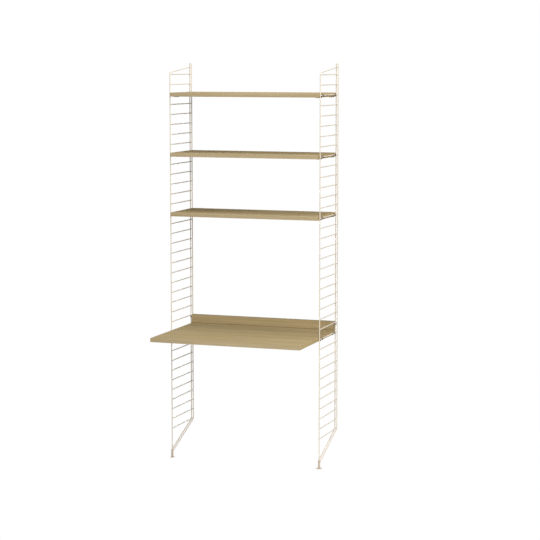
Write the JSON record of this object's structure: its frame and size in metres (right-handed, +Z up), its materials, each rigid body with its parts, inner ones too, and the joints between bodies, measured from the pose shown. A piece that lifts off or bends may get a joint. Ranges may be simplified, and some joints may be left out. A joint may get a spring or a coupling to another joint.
{
  "type": "shelving unit with desk",
  "caption": "Shelving unit that a wall keeps upright: two wire ladders carry hooked oak shelves and a deeper hooked desk with a rear upstand, over levelling feet.",
  "frame": {"origin": "on the floor, at the middle of the unit's outline in plan", "axes": "+X to the right ladder, +Y to the wall, +Z up"},
  "size_m": [0.818, 0.5705, 2.006],
  "materials": {
    "ladder_paint": "satin beige powder coat",
    "foot_paint": "satin beige powder coat",
    "oak_veneer": "matt lacquered oak veneer, grain along the board",
    "oak_band": "matt lacquered oak edge band",
    "board_core": "raw chipboard",
    "hook_steel": "dark plated steel wire",
    "screw_steel": "bright zinc plate"
  },
  "bodies": {
    "ladders_and_desk": {"left_front_wire": "ladder_paint", "left_rear_hairpin": "ladder_paint", "left_rungs": "ladder_paint", "left_foot_socket": "foot_paint", "right_front_wire": "ladder_paint", "right_rear_hairpin": "ladder_paint", "right_rungs": "ladder_paint", "right_foot_socket": "foot_paint", "desk_core": "board_core", "desk_top_veneer": "oak_veneer", "desk_bottom_veneer": "oak_veneer", "desk_front_band": "oak_band", "desk_rear_band": "oak_band", "desk_end_bands": "oak_band", "desk_hooks": "hook_steel", "desk_hook_saddles": "hook_steel", "desk_saddle_screws": "screw_steel", "desk_upstand_core": "board_core", "desk_upstand_front_veneer": "oak_veneer", "desk_upstand_rear_veneer": "oak_veneer", "desk_upstand_bands": "oak_band", "desk_upstand_fixings": "screw_steel", "desk_upstand_pins": "hook_steel"},
    "top_shelf": {"top_shelf_core": "board_core", "top_shelf_top_veneer": "oak_veneer", "top_shelf_bottom_veneer": "oak_veneer", "top_shelf_front_band": "oak_band", "top_shelf_rear_band": "oak_band", "top_shelf_end_bands": "oak_band", "top_shelf_hooks": "hook_steel", "top_shelf_hook_saddles": "hook_steel", "top_shelf_saddle_screws": "screw_steel"},
    "middle_shelf": {"middle_shelf_core": "board_core", "middle_shelf_top_veneer": "oak_veneer", "middle_shelf_bottom_veneer": "oak_veneer", "middle_shelf_front_band": "oak_band", "middle_shelf_rear_band": "oak_band", "middle_shelf_end_bands": "oak_band", "middle_shelf_hooks": "hook_steel", "middle_shelf_hook_saddles": "hook_steel", "middle_shelf_saddle_screws": "screw_steel"},
    "lower_shelf": {"lower_shelf_core": "board_core", "lower_shelf_top_veneer": "oak_veneer", "lower_shelf_bottom_veneer": "oak_veneer", "lower_shelf_front_band": "oak_band", "lower_shelf_rear_band": "oak_band", "lower_shelf_end_bands": "oak_band", "lower_shelf_hooks": "hook_steel", "lower_shelf_hook_saddles": "hook_steel", "lower_shelf_saddle_screws": "screw_steel"},
    "left_foot_plate": {"left_foot_plate": "foot_paint"},
    "left_foot_screw": {"left_foot_stem": "screw_steel"},
    "right_foot_plate": {"right_foot_plate": "foot_paint"},
    "right_foot_screw": {"right_foot_stem": "screw_steel"}
  },
  "joints": [
    {"name": "top_shelf_lift", "type": "slide", "parent": "ladders_and_desk", "child": "top_shelf", "axis": [0, 0, 1], "range_m": [0, 0.03]},
    {"name": "middle_shelf_lift", "type": "slide", "parent": "ladders_and_desk", "child": "middle_shelf", "axis": [0, 0, 1], "range_m": [0, 0.03]},
    {"name": "lower_shelf_lift", "type": "slide", "parent": "ladders_and_desk", "child": "lower_shelf", "axis": [0, 0, 1], "range_m": [0, 0.03]},
    {"name": "left_foot_height", "type": "slide", "parent": "ladders_and_desk", "child": "left_foot_plate", "axis": [0, 0, -1], "range_m": [0, 0.01]},
    {"name": "left_foot_turn", "type": "hinge", "parent": "left_foot_plate", "child": "left_foot_screw", "pos_m": [-0.395, 0.00475, 0.02], "axis": [0, 0, -1], "range_deg": [0, 2880]},
    {"name": "right_foot_height", "type": "slide", "parent": "ladders_and_desk", "child": "right_foot_plate", "axis": [0, 0, -1], "range_m": [0, 0.01]},
    {"name": "right_foot_turn", "type": "hinge", "parent": "right_foot_plate", "child": "right_foot_screw", "pos_m": [0.395, 0.00475, 0.02], "axis": [0, 0, -1], "range_deg": [0, 2880]}
  ],
  "couplings": [
    {"joint": "left_foot_turn", "follows": "left_foot_height", "rad_per_m": 5026.5},
    {"joint": "right_foot_turn", "follows": "right_foot_height", "rad_per_m": 5026.5}
  ]
}
